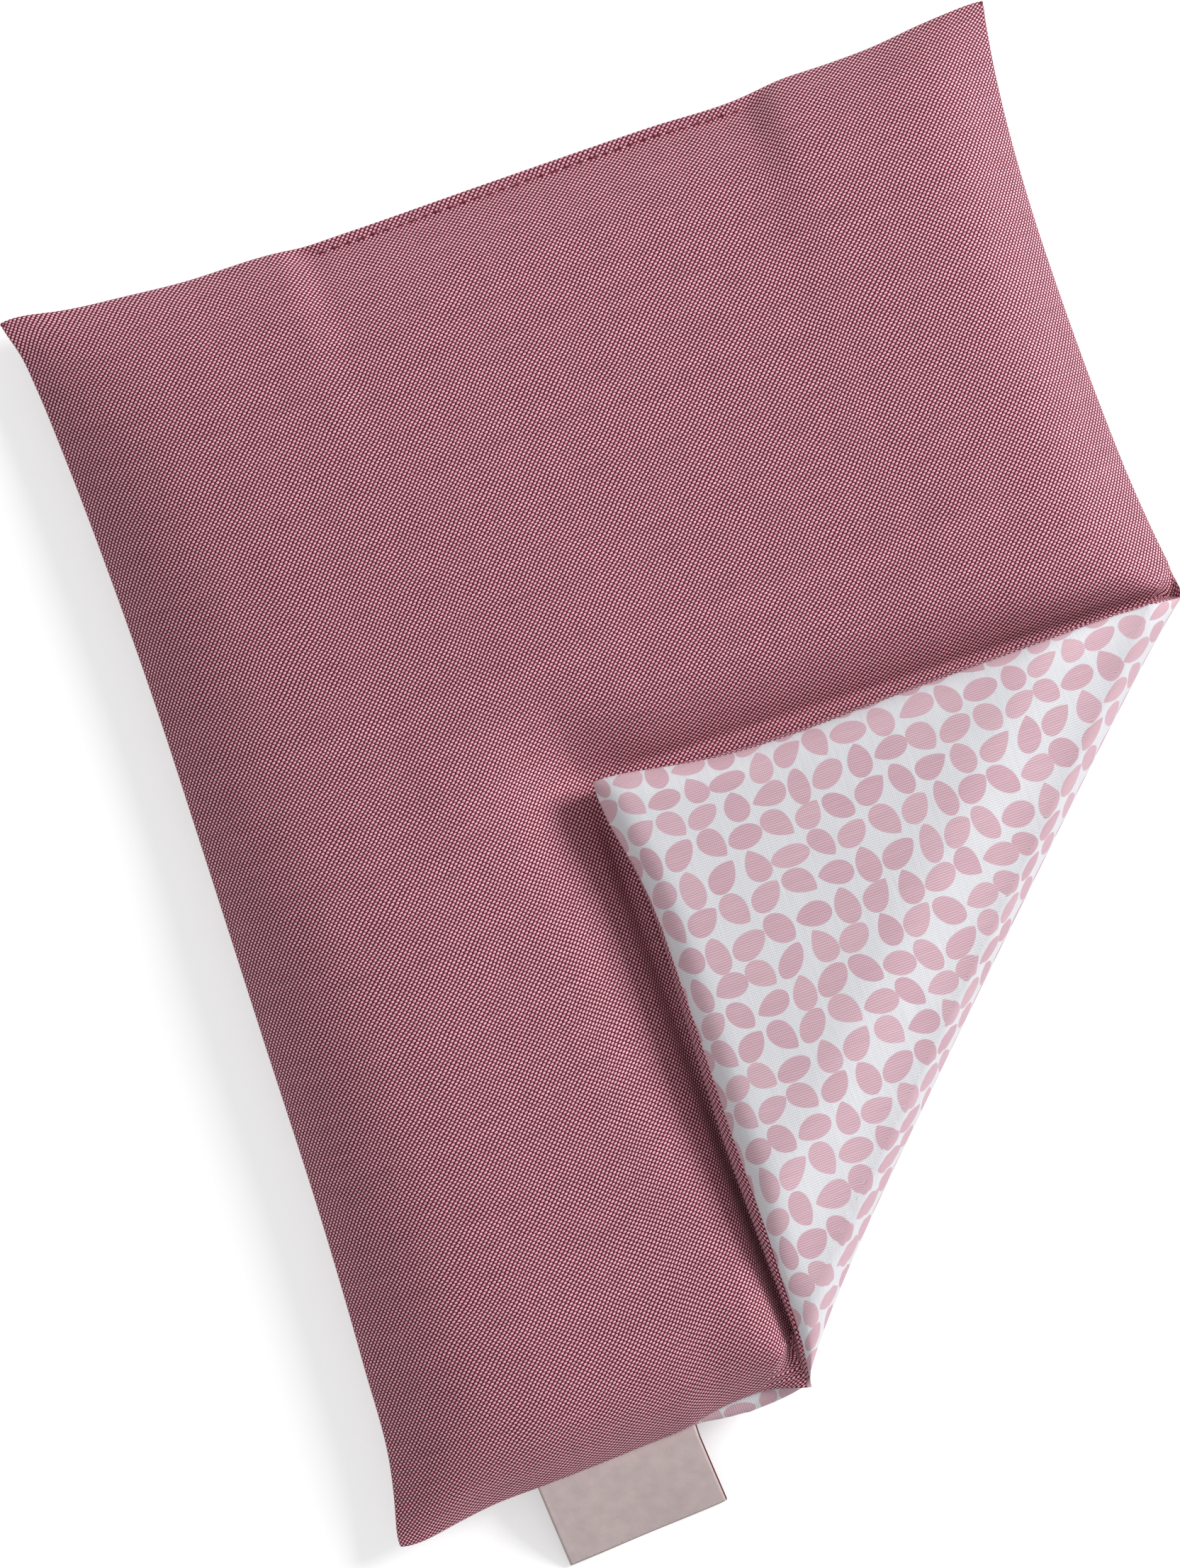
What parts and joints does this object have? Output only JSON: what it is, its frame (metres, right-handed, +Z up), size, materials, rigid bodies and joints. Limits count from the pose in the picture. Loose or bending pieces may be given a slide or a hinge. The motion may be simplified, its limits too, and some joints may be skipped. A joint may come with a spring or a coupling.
{
  "type": "eye pillow",
  "caption": "Seed-filled cloth eye pillow with melange front, printed back, woven side label and one corner folded over.",
  "frame": {"origin": "on the surface the pillow lies on, under the middle of the sewn rectangle", "axes": "+X along the closing edge, +Y towards the closing edge, +Z up through the front panel"},
  "size_m": [0.183, 0.2392, 0.0251],
  "materials": {
    "melange_cotton": "matt plain weave, wine and pale pink threads",
    "printed_cotton": "matt plain weave with scattered ovals in dusty pink",
    "seed": "smooth small seeds",
    "sewing_thread": "spun polyester, wine",
    "woven_ribbon": "satin weave, soft sheen"
  },
  "bodies": {
    "pillow": {"front_panel": "melange_cotton", "back_panel": "printed_cotton", "seed_filling": "seed", "edge_seam_thread": "sewing_thread", "closing_topstitch": "sewing_thread", "closing_bobbin_thread": "sewing_thread", "label_tail": "woven_ribbon", "fold_back_panel": "printed_cotton"},
    "folded_corner": {"corner_front_panel": "melange_cotton", "corner_back_panel": "printed_cotton", "corner_seed_filling": "seed", "corner_seam_thread": "sewing_thread"},
    "label": {"label": "woven_ribbon"}
  },
  "joints": [
    {"name": "corner_fold", "type": "hinge", "parent": "pillow", "child": "folded_corner", "pos_m": [0.03436, -0.04901, 0.013], "axis": [0.6995, 0.7147, 0], "range_deg": [0, 180], "deforming": ["fold_back_panel"]},
    {"name": "label_bend", "type": "hinge", "parent": "pillow", "child": "label", "pos_m": [-0.0507, -0.11137, 0.007], "axis": [-1, 0, 0], "range_deg": [0, 110]}
  ]
}
